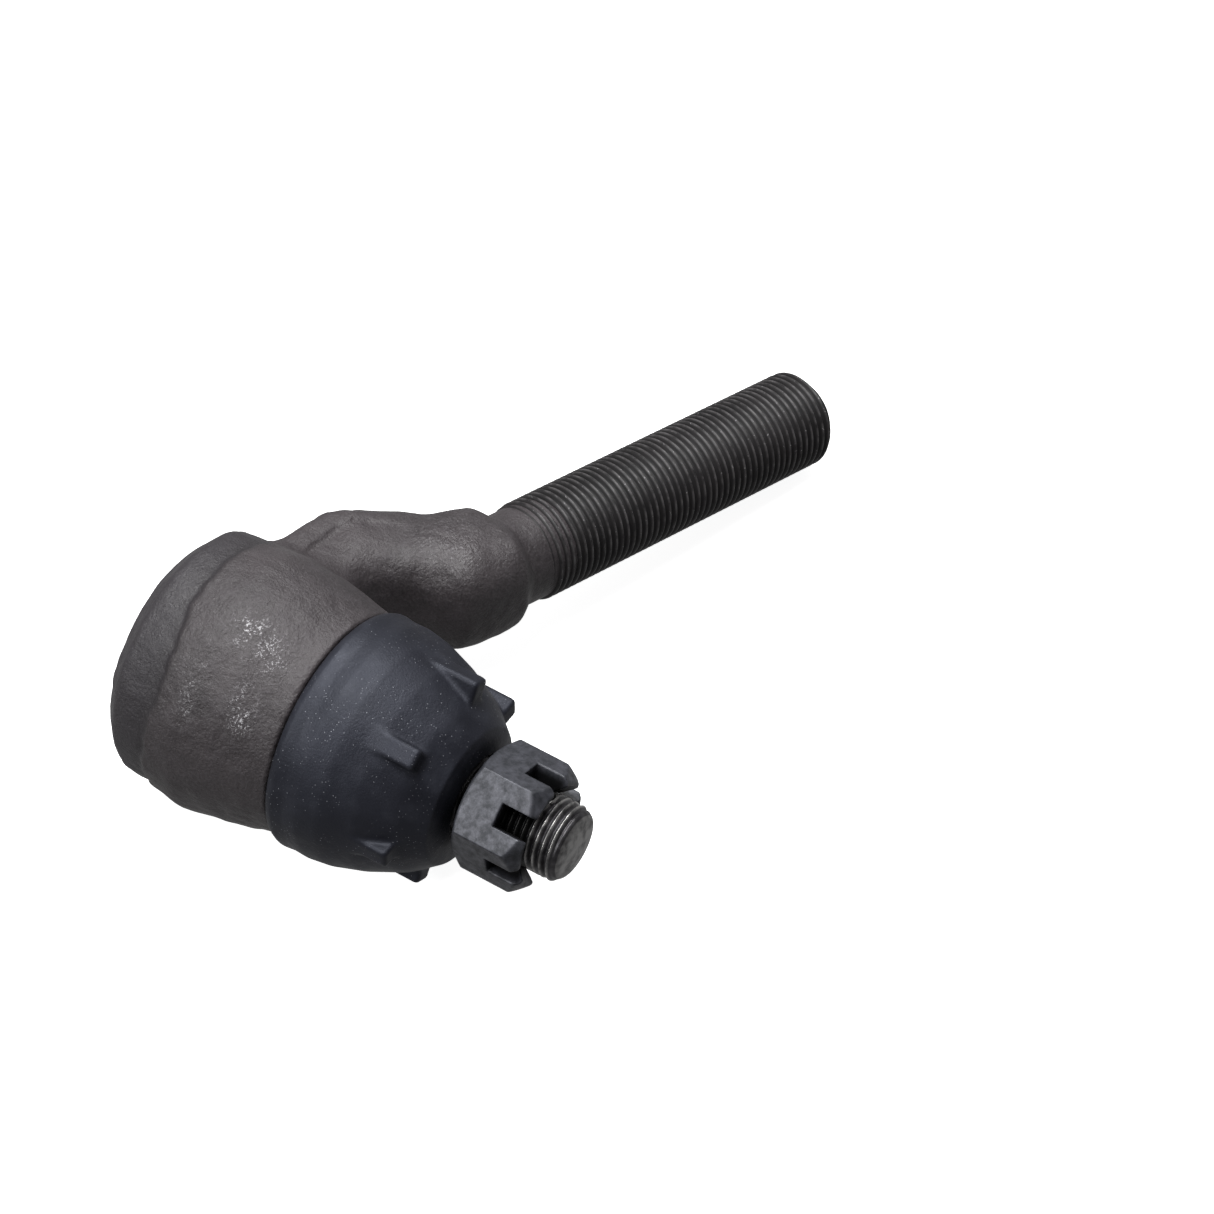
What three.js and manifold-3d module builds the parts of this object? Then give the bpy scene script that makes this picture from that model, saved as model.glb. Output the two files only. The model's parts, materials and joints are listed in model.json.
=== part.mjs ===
// Tie rod end: a forged socket housing with a bent arm and a threaded shank, a ball stud with a
// slotted nut, and the rubber boot between them. All sizes are in millimetres.
//
// Everything is drawn in the socket's own frame and then laid down on its side:
//   origin  where the shank's axis crosses the stud's axis
//   +Y      along the stud, towards its threaded end
//   +X      across the stud, towards the shank
//   +Z      square to both, and downwards once the part is laid on the floor

import * as THREE from 'three';
import { mergeVertices } from 'three/addons/utils/BufferGeometryUtils.js';
import Module from 'manifold-3d';

const wasm = await Module();
wasm.setup();

// ---- Driving dimensions -------------------------------------------------------------------

const INCH = 25.4;
const FIT_GAP = 0.3;                  // between pieces that touch
const ROUND = 40;                     // sides of a large round piece
const SMALL_ROUND = 24;               // sides of a small round piece

const SHANK_DIAMETER = (11 / 16) * INCH;
const SHANK_ANGLE = THREE.MathUtils.degToRad(75.5);   // between the shank and the stud
const SHANK_END = 125.2;              // from the socket's centre to the shank's end face
const SHANK_CHAMFER = 1.6;
const THREAD_START = 56.6;            // from the socket's centre to the first thread
const NECK_RADIUS = 8.2;
const ELBOW_RADIUS = 10.9;
const ELBOW_AT = 43.5;                // along the shank's axis

const ARM_HALF_THICKNESS = 10.0;      // across the plane of the stud and the shank
const ARM_BACK = 7.4;                 // from the arm's middle line to its flat back
const ARM_FRONT = 9.6;                // from the arm's middle line to its rounded front
const ARM_CORNER = 4.2;

const BARREL_RADIUS = 23.5;
const BARREL_WAIST_Y = -2;            // where the barrel is widest
const BARREL_BACK_Y = -16.2;
const BARREL_FRONT_Y = 15.0;
const BOOT_SEAT_RADIUS = 17.4;
const BOOT_SEAT_Y = 18.6;
const BORE_RADIUS = 16.1;
const BORE_TOP_Y = 11.9;
const THROAT_RADIUS = 10.9;           // the throat flares, to let the stud tilt
const THROAT_MOUTH_RADIUS = 13.6;
const COVER_SEAT_RADIUS = 17.3;
const COVER_SEAT_Y = -12.4;
const RIM_LIP_RADIUS = 15.6;
const RIM_LIP_Y = -15.0;

const PIVOT_Y = 2;                    // centre of the ball joint
const BEARING_RADIUS = 11.5;          // half-ball bearing
const BEARING_TOP_Y = 9.0;
const SEAT_TOP_Y = 8.2;
const SEAT_MOUTH_RADIUS = 11.2;
const HEAD_RADIUS = 8.6;              // spherical back of the stud's head
const HEAD_FLANGE_RADIUS = 9.6;
const HEAD_BACK_Y = -6.3;

const STUD_NECK_RADIUS = 6.4;
const TAPER_START_Y = 24;
const TAPER_END_Y = 40.2;
const TAPER_SMALL_RADIUS = 6.56;
const TAPER_ON_DIAMETER = 1 / 8;
const STUD_THREAD_RADIUS = INCH / 4;
const STUD_END_Y = 60.1;
const COTTER_HOLE_RADIUS = 1.8;
const COTTER_HOLE_Y = 52.4;

const NUT_ACROSS_FLATS = 0.75 * INCH;
const NUT_BASE_Y = 42.6;
const NUT_TOP_Y = 55.3;
const NUT_BORE_RADIUS = 6.65;
const NUT_SLOT_WIDTH = 3.9;
const NUT_SLOT_FLOOR_Y = 49.2;
const NUT_TURN = THREE.MathUtils.degToRad(20.6);
const NUT_BASE_CHAMFER = THREE.MathUtils.degToRad(30);
const NUT_TOP_CHAMFER = THREE.MathUtils.degToRad(45);
const NUT_COUNTERSINK_RADIUS = 8.5;   // in the slotted end

const BOOT_REST_RADIUS = 20.6;        // where the boot touches the floor
const BOOT_REST_Y = 22.5;
const BOOT_LUGS = 6;
const LUG_TURN = THREE.MathUtils.degToRad(45);
const LUG_WIDTH = 3.4;
const LUG_RADIUS = 18.3;              // outer face of a lug
const LUG_ROOT_RADIUS = 14.6;
const LUG_START_Y = 28.5;
const LUG_END_Y = 36.6;

const CUP_RADIUS = 15.7;
const CUP_BACK_Y = -8.4;
const CUP_RIM_Y = -4.4;
const SPRING_WIRE = 1.3;
const SPRING_SMALL_RADIUS = 5.2;
const SPRING_LARGE_RADIUS = 11.5;
const SPRING_TURNS = 2.25;
const COVER_RADIUS = 17.0;
const COVER_THICKNESS = 2.0;
const COVER_DOME = 0.5;
const FITTING_HOLE_RADIUS = 3.5;

const FITTING_THREAD_RADIUS = 3.17;
const FITTING_HEX = (5 / 16) * INCH;
const FITTING_INNER_Y = -11.6;
const FITTING_HEX_Y = -15.3;
const FITTING_HEX_HEIGHT = 2.2;
const FITTING_TIP_Y = -21.0;
const FITTING_BORE_RADIUS = 1.6;
const CHECK_BALL_RADIUS = 1.3;
const CHECK_SPRING_WIRE = 0.35;
const CHECK_SPRING_RADIUS = 1.05;
const CHECK_SPRING_TURNS = 4;

const shankDirection = new THREE.Vector3(Math.sin(SHANK_ANGLE), Math.cos(SHANK_ANGLE), 0);

// ---- Materials ----------------------------------------------------------------------------

const metal = (color, roughness, metalness = 0.8) =>
  new THREE.MeshStandardMaterial({ color, roughness, metalness });

const MATERIALS = {
  forging: metal('#5d5a58', 0.6, 0.5),
  stud: metal('#6f6e6c', 0.35),
  nut: metal('#5f6063', 0.45),
  bearing: metal('#8d8b86', 0.3),
  plate: metal('#77736c', 0.5),
  fitting: metal('#b9a36a', 0.35),
  rubber: metal('#3c3e46', 0.65, 0),
};

// ---- Solids -------------------------------------------------------------------------------

// A closed three.js geometry as a solid that can be joined and cut.
function solid(geometry) {
  const bare = geometry.clone();
  bare.deleteAttribute('normal');
  bare.deleteAttribute('uv');
  const merged = mergeVertices(bare, 1e-4);
  return new wasm.Manifold(new wasm.Mesh({
    numProp: 3,
    vertProperties: new Float32Array(merged.attributes.position.array),
    triVerts: new Uint32Array(merged.index.array),
  }));
}

// A solid as a three.js geometry.
function geometryOf(shape) {
  const mesh = shape.getMesh();
  const geometry = new THREE.BufferGeometry();
  geometry.setAttribute('position', new THREE.BufferAttribute(mesh.vertProperties, 3));
  geometry.setIndex(new THREE.BufferAttribute(mesh.triVerts, 1));
  return geometry;
}

// A body of revolution about +Y from [radius, y] points that run round its section anticlockwise:
// from the lowest point on the axis, outwards and up, and back to the axis.
function turned(profile, sides = ROUND) {
  return new THREE.LatheGeometry(profile.map(([r, y]) => new THREE.Vector2(r, y)), sides);
}

// A straight round bar about +Y.
function bar(radius, bottom, top, sides = ROUND) {
  return turned([[0, bottom], [radius, bottom], [radius, top], [0, top]], sides);
}

// Points on a circle about (0, PIVOT_Y), from one radius on the section to another.
function pivotArc(ballRadius, fromRadius, toRadius, upper, steps = 5) {
  const points = [];
  for (let i = 0; i <= steps; i += 1) {
    const start = Math.asin(fromRadius / ballRadius);
    const end = Math.asin(toRadius / ballRadius);
    const angle = THREE.MathUtils.lerp(start, end, i / steps);
    const rise = ballRadius * Math.cos(angle);
    points.push([ballRadius * Math.sin(angle), PIVOT_Y + (upper ? rise : -rise)]);
  }
  return points;
}

// A rod of round section along a curve.
function rodAlong(curve, radius, steps, sides) {
  const section = new THREE.Shape();
  section.absarc(0, 0, radius, 0, 2 * Math.PI, false);
  return new THREE.ExtrudeGeometry(section, {
    steps,
    curveSegments: sides,
    extrudePath: curve,
    bevelEnabled: false,
  });
}

// A coil about +Y whose radius grows from one end to the other, with flat-lying end turns.
class Coil extends THREE.Curve {
  constructor(bottom, top, bottomRadius, topRadius, turns) {
    super();
    Object.assign(this, { bottom, top, bottomRadius, topRadius, turns });
  }

  getPoint(t, target = new THREE.Vector3()) {
    const radius = THREE.MathUtils.lerp(this.bottomRadius, this.topRadius, t);
    const angle = 2 * Math.PI * this.turns * t;
    const y = THREE.MathUtils.lerp(this.bottom, this.top, t);
    return target.set(radius * Math.cos(angle), y, radius * Math.sin(angle));
  }
}

// ---- Housing ------------------------------------------------------------------------------

// Turns a body drawn about +Y to lie along the shank.
function alongShank(geometry) {
  const turn = new THREE.Quaternion();
  turn.setFromUnitVectors(new THREE.Vector3(0, 1, 0), shankDirection);
  return geometry.applyQuaternion(turn);
}

// The arm leaves the barrel square to the stud, climbs, and runs out along the shank's axis.
function armCurve() {
  const onShank = (distance) => shankDirection.clone().multiplyScalar(distance);
  return new THREE.CatmullRomCurve3([
    new THREE.Vector3(8, -7.6, 0),
    new THREE.Vector3(18, -7.6, 0),
    new THREE.Vector3(27, -7.2, 0),
    new THREE.Vector3(33.5, -4.0, 0),
    new THREE.Vector3(38.5, 2.6, 0),
    onShank(ELBOW_AT),
  ], false, 'centripetal');
}

// Section of the arm: a flat back with rounded corners, straight sides and a rounded front.
// Its y runs towards the stud's end, and its x across the plane of the stud and the shank.
function armSection() {
  const half = ARM_HALF_THICKNESS;
  const corner = half - ARM_CORNER;
  const section = new THREE.Shape();
  section.absarc(corner, ARM_CORNER - ARM_BACK, ARM_CORNER, -Math.PI / 2, 0, false);
  section.absellipse(0, 0, half, ARM_FRONT, 0, Math.PI, false, 0);
  section.absarc(-corner, ARM_CORNER - ARM_BACK, ARM_CORNER, Math.PI, 1.5 * Math.PI, false);
  section.closePath();
  return section;
}

function housing() {
  const barrel = solid(turned([
    [0, BARREL_BACK_Y],
    [18.4, BARREL_BACK_Y],
    [19.8, BARREL_BACK_Y + 1.0],
    [21.6, BARREL_BACK_Y + 2.4],
    [22.6, BARREL_BACK_Y + 4.2],
    [22.9, -9],
    [23.0, -6.8],
    [23.3, -5.8],
    [BARREL_RADIUS, BARREL_WAIST_Y],
    [23.3, 1],
    [22.5, 4.4],
    [21.5, 8],
    [20.4, 12],
    [19.9, BARREL_FRONT_Y],
    [BOOT_SEAT_RADIUS, BARREL_FRONT_Y],
    [BOOT_SEAT_RADIUS, BOOT_SEAT_Y],
    [0, BOOT_SEAT_Y],
  ]));
  const arm = solid(new THREE.ExtrudeGeometry(armSection(), {
    steps: 20,
    curveSegments: 8,
    extrudePath: armCurve(),
    bevelEnabled: false,
  }));
  const elbow = solid(new THREE.SphereGeometry(ELBOW_RADIUS, 28, 16)
    .translate(...shankDirection.clone().multiplyScalar(ELBOW_AT).toArray()));
  const shankRadius = SHANK_DIAMETER / 2;
  const shank = solid(alongShank(turned([
    [0, ELBOW_AT - 2],
    [ELBOW_RADIUS - 0.6, ELBOW_AT],
    [9.4, ELBOW_AT + 6],
    [NECK_RADIUS, ELBOW_AT + 9],
    [NECK_RADIUS, THREAD_START - 0.5],
    [shankRadius, THREAD_START],
    [shankRadius, SHANK_END - SHANK_CHAMFER],
    [shankRadius - SHANK_CHAMFER, SHANK_END],
    [0, SHANK_END],
  ])));
  const cavity = solid(turned([
    [0, BARREL_BACK_Y - 1],
    [RIM_LIP_RADIUS, BARREL_BACK_Y - 1],
    [RIM_LIP_RADIUS, RIM_LIP_Y],
    [COVER_SEAT_RADIUS, RIM_LIP_Y],
    [COVER_SEAT_RADIUS, COVER_SEAT_Y],
    [BORE_RADIUS, COVER_SEAT_Y],
    [BORE_RADIUS, BORE_TOP_Y],
    [THROAT_RADIUS, BORE_TOP_Y],
    [THROAT_MOUTH_RADIUS, BOOT_SEAT_Y + 0.01],
    [THROAT_MOUTH_RADIUS, BOOT_SEAT_Y + 1],
    [0, BOOT_SEAT_Y + 1],
  ]));
  return geometryOf(barrel.add(arm).add(elbow).add(shank).subtract(cavity));
}

// ---- Socket -------------------------------------------------------------------------------

// Ring with a hollow spherical face that the half-ball bearing tilts in.
function bearingSeat() {
  const ballRadius = BEARING_RADIUS + FIT_GAP;
  const topRadius = Math.sqrt(ballRadius ** 2 - (SEAT_TOP_Y - PIVOT_Y) ** 2);
  const outer = BORE_RADIUS - FIT_GAP;
  const face = pivotArc(ballRadius, topRadius, ballRadius, true);
  return turned([
    [ballRadius, PIVOT_Y],
    [outer, PIVOT_Y],
    [outer, BORE_TOP_Y - FIT_GAP],
    [SEAT_MOUTH_RADIUS, BORE_TOP_Y - FIT_GAP],
    ...face,
  ]);
}

// Upper half of a ball, bored for the stud, flat where the stud's head pulls on it.
function ballBearing() {
  const bore = STUD_NECK_RADIUS + FIT_GAP;
  const flat = PIVOT_Y + FIT_GAP;
  const topRadius = Math.sqrt(BEARING_RADIUS ** 2 - (BEARING_TOP_Y - PIVOT_Y) ** 2);
  const edge = Math.sqrt(BEARING_RADIUS ** 2 - FIT_GAP ** 2);
  const face = pivotArc(BEARING_RADIUS, topRadius, edge, true).reverse();
  return turned([
    [bore, flat],
    ...face,
    [bore, BEARING_TOP_Y],
    [bore, flat],
  ]);
}

// Plate with a dished face that presses on the back of the stud's head.
function pressureCup() {
  const ballRadius = HEAD_RADIUS + FIT_GAP;
  const dishRadius = Math.sqrt(ballRadius ** 2 - (PIVOT_Y - CUP_RIM_Y) ** 2);
  const dish = pivotArc(ballRadius, 0, dishRadius, false).reverse();
  return turned([
    [0, CUP_BACK_Y],
    [CUP_RADIUS - 0.8, CUP_BACK_Y],
    [CUP_RADIUS, CUP_BACK_Y + 0.8],
    [CUP_RADIUS, CUP_RIM_Y - 1.6],
    [dishRadius + 2.5, CUP_RIM_Y],
    ...dish,
  ]);
}

function preloadSpring() {
  const halfWire = SPRING_WIRE / 2;
  const top = CUP_BACK_Y - FIT_GAP - halfWire;
  const bottom = COVER_SEAT_Y + FIT_GAP + halfWire;
  const coil = new Coil(bottom, top, SPRING_LARGE_RADIUS, SPRING_SMALL_RADIUS, SPRING_TURNS);
  return rodAlong(coil, halfWire, 54, 4);
}

// Disc that closes the socket's back; the housing's rim is rolled over its edge.
function coverPlate() {
  const inner = COVER_SEAT_Y - FIT_GAP;
  const outer = inner - COVER_THICKNESS;
  const domeRadius = COVER_RADIUS * 0.6;
  return turned([
    [FITTING_HOLE_RADIUS, outer - COVER_DOME],
    [domeRadius, outer - COVER_DOME],
    [COVER_RADIUS - 2, outer],
    [COVER_RADIUS, outer],
    [COVER_RADIUS, inner],
    [COVER_RADIUS - 2, inner],
    [domeRadius, inner - COVER_DOME],
    [FITTING_HOLE_RADIUS, inner - COVER_DOME],
    [FITTING_HOLE_RADIUS, outer - COVER_DOME],
  ]);
}

// ---- Grease fitting -----------------------------------------------------------------------

function greaseFitting() {
  const hexBack = FITTING_HEX_Y - FITTING_HEX_HEIGHT;
  const stem = solid(turned([
    [0, FITTING_TIP_Y],
    [1.5, FITTING_TIP_Y],
    [2.9, FITTING_TIP_Y + 1.0],
    [2.9, FITTING_TIP_Y + 1.5],
    [2.1, FITTING_TIP_Y + 2.5],
    [2.1, hexBack - 0.4],
    [3.2, hexBack + 0.4],
    [FITTING_THREAD_RADIUS, FITTING_INNER_Y - 0.5],
    [FITTING_THREAD_RADIUS - 0.5, FITTING_INNER_Y],
    [0, FITTING_INNER_Y],
  ], SMALL_ROUND));
  const hex = solid(bar(FITTING_HEX / Math.sqrt(3), hexBack, FITTING_HEX_Y, 6));
  const seat = FITTING_TIP_Y + 0.8;
  const passage = solid(turned([
    [0, FITTING_TIP_Y - 1],
    [0.9, FITTING_TIP_Y - 1],
    [0.9, seat],
    [FITTING_BORE_RADIUS, seat + 0.6],
    [FITTING_BORE_RADIUS, FITTING_INNER_Y + 1],
    [0, FITTING_INNER_Y + 1],
  ], SMALL_ROUND));
  return geometryOf(stem.add(hex).subtract(passage));
}

const CHECK_BALL_Y = FITTING_TIP_Y + 0.8 + 0.3 + CHECK_BALL_RADIUS;

function checkBall() {
  return new THREE.SphereGeometry(CHECK_BALL_RADIUS, 16, 10).translate(0, CHECK_BALL_Y, 0);
}

function checkSpring() {
  const bottom = CHECK_BALL_Y + CHECK_BALL_RADIUS + FIT_GAP;
  const coil = new Coil(
    bottom, FITTING_INNER_Y - 0.5, CHECK_SPRING_RADIUS, CHECK_SPRING_RADIUS, CHECK_SPRING_TURNS,
  );
  return rodAlong(coil, CHECK_SPRING_WIRE / 2, 48, 3);
}

// ---- Stud and nut -------------------------------------------------------------------------

function ballStud() {
  const headEdgeY = 0.5;
  const headEdge = Math.sqrt(HEAD_RADIUS ** 2 - (PIVOT_Y - headEdgeY) ** 2);
  const backRadius = Math.sqrt(HEAD_RADIUS ** 2 - (PIVOT_Y - HEAD_BACK_Y) ** 2);
  const back = pivotArc(HEAD_RADIUS, backRadius, headEdge, false);
  const taperGrowth = (TAPER_END_Y - TAPER_START_Y) * TAPER_ON_DIAMETER / 2;
  const stud = solid(turned([
    [0, HEAD_BACK_Y],
    ...back,
    [HEAD_FLANGE_RADIUS, headEdgeY],
    [HEAD_FLANGE_RADIUS, PIVOT_Y],
    [STUD_NECK_RADIUS, PIVOT_Y],
    [STUD_NECK_RADIUS, TAPER_START_Y - 2],
    [TAPER_SMALL_RADIUS + taperGrowth, TAPER_START_Y],
    [TAPER_SMALL_RADIUS, TAPER_END_Y],
    [STUD_THREAD_RADIUS - 0.4, TAPER_END_Y + 0.3],
    [STUD_THREAD_RADIUS - 0.4, TAPER_END_Y + 1.2],
    [STUD_THREAD_RADIUS, TAPER_END_Y + 1.6],
    [STUD_THREAD_RADIUS, STUD_END_Y - 1.2],
    [STUD_THREAD_RADIUS - 1.2, STUD_END_Y],
    [0, STUD_END_Y],
  ], 32));
  const drill = solid(bar(COTTER_HOLE_RADIUS, -2 * STUD_THREAD_RADIUS, 2 * STUD_THREAD_RADIUS, 12)
    .rotateX(Math.PI / 2)
    .rotateY(NUT_TURN - Math.PI / 6)
    .translate(0, COTTER_HOLE_Y, 0));
  return geometryOf(stud.subtract(drill));
}

// Slotted hexagon nut: three cuts across its outer end leave six slots, one in each flat.
function castleNut() {
  const cornerRadius = NUT_ACROSS_FLATS / Math.sqrt(3);
  const faceRadius = NUT_ACROSS_FLATS / 2 - 0.2;
  const chamfer = cornerRadius - faceRadius;
  const sink = NUT_COUNTERSINK_RADIUS - NUT_BORE_RADIUS;
  const hexagon = solid(bar(cornerRadius, NUT_BASE_Y, NUT_TOP_Y, 6));
  const chamfered = solid(turned([
    [0, NUT_BASE_Y],
    [faceRadius, NUT_BASE_Y],
    [cornerRadius + 0.01, NUT_BASE_Y + chamfer * Math.tan(NUT_BASE_CHAMFER)],
    [cornerRadius + 0.01, NUT_TOP_Y - chamfer * Math.tan(NUT_TOP_CHAMFER)],
    [faceRadius, NUT_TOP_Y],
    [0, NUT_TOP_Y],
  ]));
  const bore = solid(turned([
    [0, NUT_BASE_Y - 1],
    [NUT_BORE_RADIUS + 0.6, NUT_BASE_Y - 1],
    [NUT_BORE_RADIUS + 0.6, NUT_BASE_Y],
    [NUT_BORE_RADIUS, NUT_BASE_Y + 0.6],
    [NUT_BORE_RADIUS, NUT_TOP_Y - sink],
    [NUT_COUNTERSINK_RADIUS, NUT_TOP_Y],
    [NUT_COUNTERSINK_RADIUS, NUT_TOP_Y + 1],
    [0, NUT_TOP_Y + 1],
  ], 32));
  let nut = hexagon.intersect(chamfered).subtract(bore);
  const slotHeight = NUT_TOP_Y - NUT_SLOT_FLOOR_Y + 1;
  for (let i = 0; i < 3; i += 1) {
    const cut = new THREE.BoxGeometry(NUT_SLOT_WIDTH, slotHeight, 3 * cornerRadius)
      .translate(0, NUT_SLOT_FLOOR_Y + slotHeight / 2, 0)
      .rotateY((i + 0.5) * Math.PI / 3);
    nut = nut.subtract(solid(cut));
  }
  return geometryOf(nut).rotateY(NUT_TURN);
}

// ---- Boot ---------------------------------------------------------------------------------

// Bell-shaped rubber boot, gripping the barrel's seat at its skirt and the stud at its mouth.
function dustBoot() {
  const seat = BOOT_SEAT_RADIUS + FIT_GAP;
  const skirtY = BARREL_FRONT_Y + FIT_GAP;
  const lip = TAPER_SMALL_RADIUS + 0.5;
  const shell = solid(turned([
    [seat, skirtY],
    [20.5, skirtY],
    [21.1, skirtY + 0.6],
    [21.2, skirtY + 1.5],
    [20.9, 19],
    [BOOT_REST_RADIUS, BOOT_REST_Y],
    [20.3, 24.5],
    [19.7, 27],
    [18.6, 30],
    [17.2, 33],
    [15.5, 36.3],
    [13.5, 39],
    [12, 40.2],
    [lip, 40.5],
    [lip, 39.0],
    [11.2, 38.0],
    [13.6, 35.2],
    [15.3, 32],
    [17, 28.5],
    [18.2, 24],
    [18.4, 20.6],
    [seat, BOOT_SEAT_Y + FIT_GAP],
    [seat, skirtY],
  ]));
  let boot = shell;
  for (let i = 0; i < BOOT_LUGS; i += 1) {
    const length = LUG_END_Y - LUG_START_Y;
    const lug = new THREE.BoxGeometry(LUG_WIDTH, length, LUG_RADIUS - LUG_ROOT_RADIUS)
      .translate(0, LUG_START_Y + length / 2, (LUG_RADIUS + LUG_ROOT_RADIUS) / 2)
      .rotateY(LUG_TURN + i * 2 * Math.PI / BOOT_LUGS);
    boot = boot.add(solid(lug));
  }
  return geometryOf(boot);
}

// ---- Assembly -----------------------------------------------------------------------------

const assembly = new THREE.Group();

function piece(name, geometry, material) {
  const mesh = new THREE.Mesh(geometry, material);
  mesh.name = name;
  assembly.add(mesh);
}

piece('forged_housing', housing(), MATERIALS.forging);
piece('bearing_seat', bearingSeat(), MATERIALS.bearing);
piece('ball_bearing', ballBearing(), MATERIALS.bearing);
piece('ball_stud', ballStud(), MATERIALS.stud);
piece('castle_nut', castleNut(), MATERIALS.nut);
piece('dust_boot', dustBoot(), MATERIALS.rubber);
piece('pressure_cup', pressureCup(), MATERIALS.bearing);
piece('preload_spring', preloadSpring(), MATERIALS.bearing);
piece('cover_plate', coverPlate(), MATERIALS.plate);
piece('grease_fitting', greaseFitting(), MATERIALS.fitting);
piece('fitting_check_ball', checkBall(), MATERIALS.bearing);
piece('fitting_check_spring', checkSpring(), MATERIALS.bearing);

// ---- Laying the part down -----------------------------------------------------------------

// On its side the part rests on the barrel, on the boot and on the edge of the shank's end.
// "up" is the floor's normal in the socket's frame.
const restSlope = (BARREL_RADIUS - BOOT_REST_RADIUS) / (BOOT_REST_Y - BARREL_WAIST_Y);
const studDroop = Math.sin(Math.atan(restSlope));
const centreHeight = BARREL_RADIUS * Math.sqrt(1 - studDroop ** 2) + BARREL_WAIST_Y * studDroop;
const endRadius = SHANK_DIAMETER / 2;
const endEdge = SHANK_END - SHANK_CHAMFER;
const shankDroop = (centreHeight - endRadius) / endEdge;
const upX = (studDroop * shankDirection.y - shankDroop) / shankDirection.x;
const up = new THREE.Vector3(upX, -studDroop, -Math.sqrt(1 - upX ** 2 - studDroop ** 2));
const ahead = shankDirection.clone().addScaledVector(up, shankDroop).normalize();
const left = new THREE.Vector3().crossVectors(up, ahead);
const layDown = new THREE.Matrix4().makeBasis(ahead, left, up).transpose();
assembly.applyMatrix4(layDown);

// The origin is on the floor, under the middle of the part's box.
const part = new THREE.Group();
part.add(assembly);
part.updateMatrixWorld(true);
const box = new THREE.Box3().setFromObject(part, true);
assembly.position.sub(new THREE.Vector3(
  (box.min.x + box.max.x) / 2,
  (box.min.y + box.max.y) / 2,
  box.min.z,
));

export default part;
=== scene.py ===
import json
import math

import bmesh
import bpy
import numpy as np
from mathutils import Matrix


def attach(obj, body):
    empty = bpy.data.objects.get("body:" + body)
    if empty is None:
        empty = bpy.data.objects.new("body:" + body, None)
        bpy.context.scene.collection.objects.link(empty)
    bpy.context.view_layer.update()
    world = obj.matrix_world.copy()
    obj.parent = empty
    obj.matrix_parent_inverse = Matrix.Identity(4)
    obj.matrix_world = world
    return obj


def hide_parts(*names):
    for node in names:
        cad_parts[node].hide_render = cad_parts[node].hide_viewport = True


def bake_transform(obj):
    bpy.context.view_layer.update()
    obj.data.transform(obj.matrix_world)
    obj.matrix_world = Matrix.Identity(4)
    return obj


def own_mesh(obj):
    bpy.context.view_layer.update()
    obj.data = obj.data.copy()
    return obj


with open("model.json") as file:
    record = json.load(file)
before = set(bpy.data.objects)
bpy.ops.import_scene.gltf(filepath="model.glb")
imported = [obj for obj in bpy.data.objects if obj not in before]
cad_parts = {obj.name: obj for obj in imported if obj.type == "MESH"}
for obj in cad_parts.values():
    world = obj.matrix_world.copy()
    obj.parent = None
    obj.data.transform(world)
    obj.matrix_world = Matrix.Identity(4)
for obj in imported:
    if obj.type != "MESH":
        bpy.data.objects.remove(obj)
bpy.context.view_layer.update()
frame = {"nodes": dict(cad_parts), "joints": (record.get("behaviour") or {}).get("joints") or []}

import openvdb
from mathutils import Matrix, Vector

# ---- The socket's own frame ---------------------------------------------------------------
#
# Shapes are drawn in millimetres in the frame that the CAD part is drawn in: the origin is
# where the shank's axis crosses the stud's axis, +Y runs along the stud to its thread, +X runs
# across it towards the shank, and +Z is square to both.

MM = 0.001
INCH = 25.4
PIVOT_Y = 2.0                          # the ball's centre
SHANK_ANGLE = math.radians(75.5)

joints = {joint["name"]: joint for joint in frame["joints"]}
stud_axis = Vector(joints["stud_spin"]["axis"])
side_axis = Vector(joints["stud_tilt"]["axis"])
shank_side = stud_axis.cross(side_axis)
centre = Vector(joints["stud_tilt"]["pos_m"]) - stud_axis * PIVOT_Y * MM
AXES = np.array([shank_side, stud_axis, side_axis])
SHANK = np.array([math.sin(SHANK_ANGLE), math.cos(SHANK_ANGLE), 0.0])


def to_row(points):
    """Points in the socket's frame, in millimetres, as points in the row frame, in metres."""
    return np.asarray(points, float) @ AXES * MM + np.array(centre)


def place(x, y, z):
    return Vector(to_row([[x, y, z]])[0])


# ---- Meshes from numbers ------------------------------------------------------------------

def mesh_piece(name, points, faces, material, smooth=True):
    """A mesh object from points in the socket's frame."""
    mesh = bpy.data.meshes.new(name)
    mesh.from_pydata(to_row(points).tolist(), [], [list(map(int, face)) for face in faces])
    mesh.validate()
    mesh.update()
    if smooth:
        mesh.polygons.foreach_set("use_smooth", [True] * len(mesh.polygons))
    mesh.materials.append(material)
    piece = bpy.data.objects.new(name, mesh)
    bpy.context.scene.collection.objects.link(piece)
    return piece


def gradient(field, points, reach=0.05):
    slopes = []
    for axis in range(3):
        shift = np.zeros(3)
        shift[axis] = reach
        ahead = field(*(points + shift).T)
        behind = field(*(points - shift).T)
        slopes.append((ahead - behind) / (2 * reach))
    return np.stack(slopes, axis=1)


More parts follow.
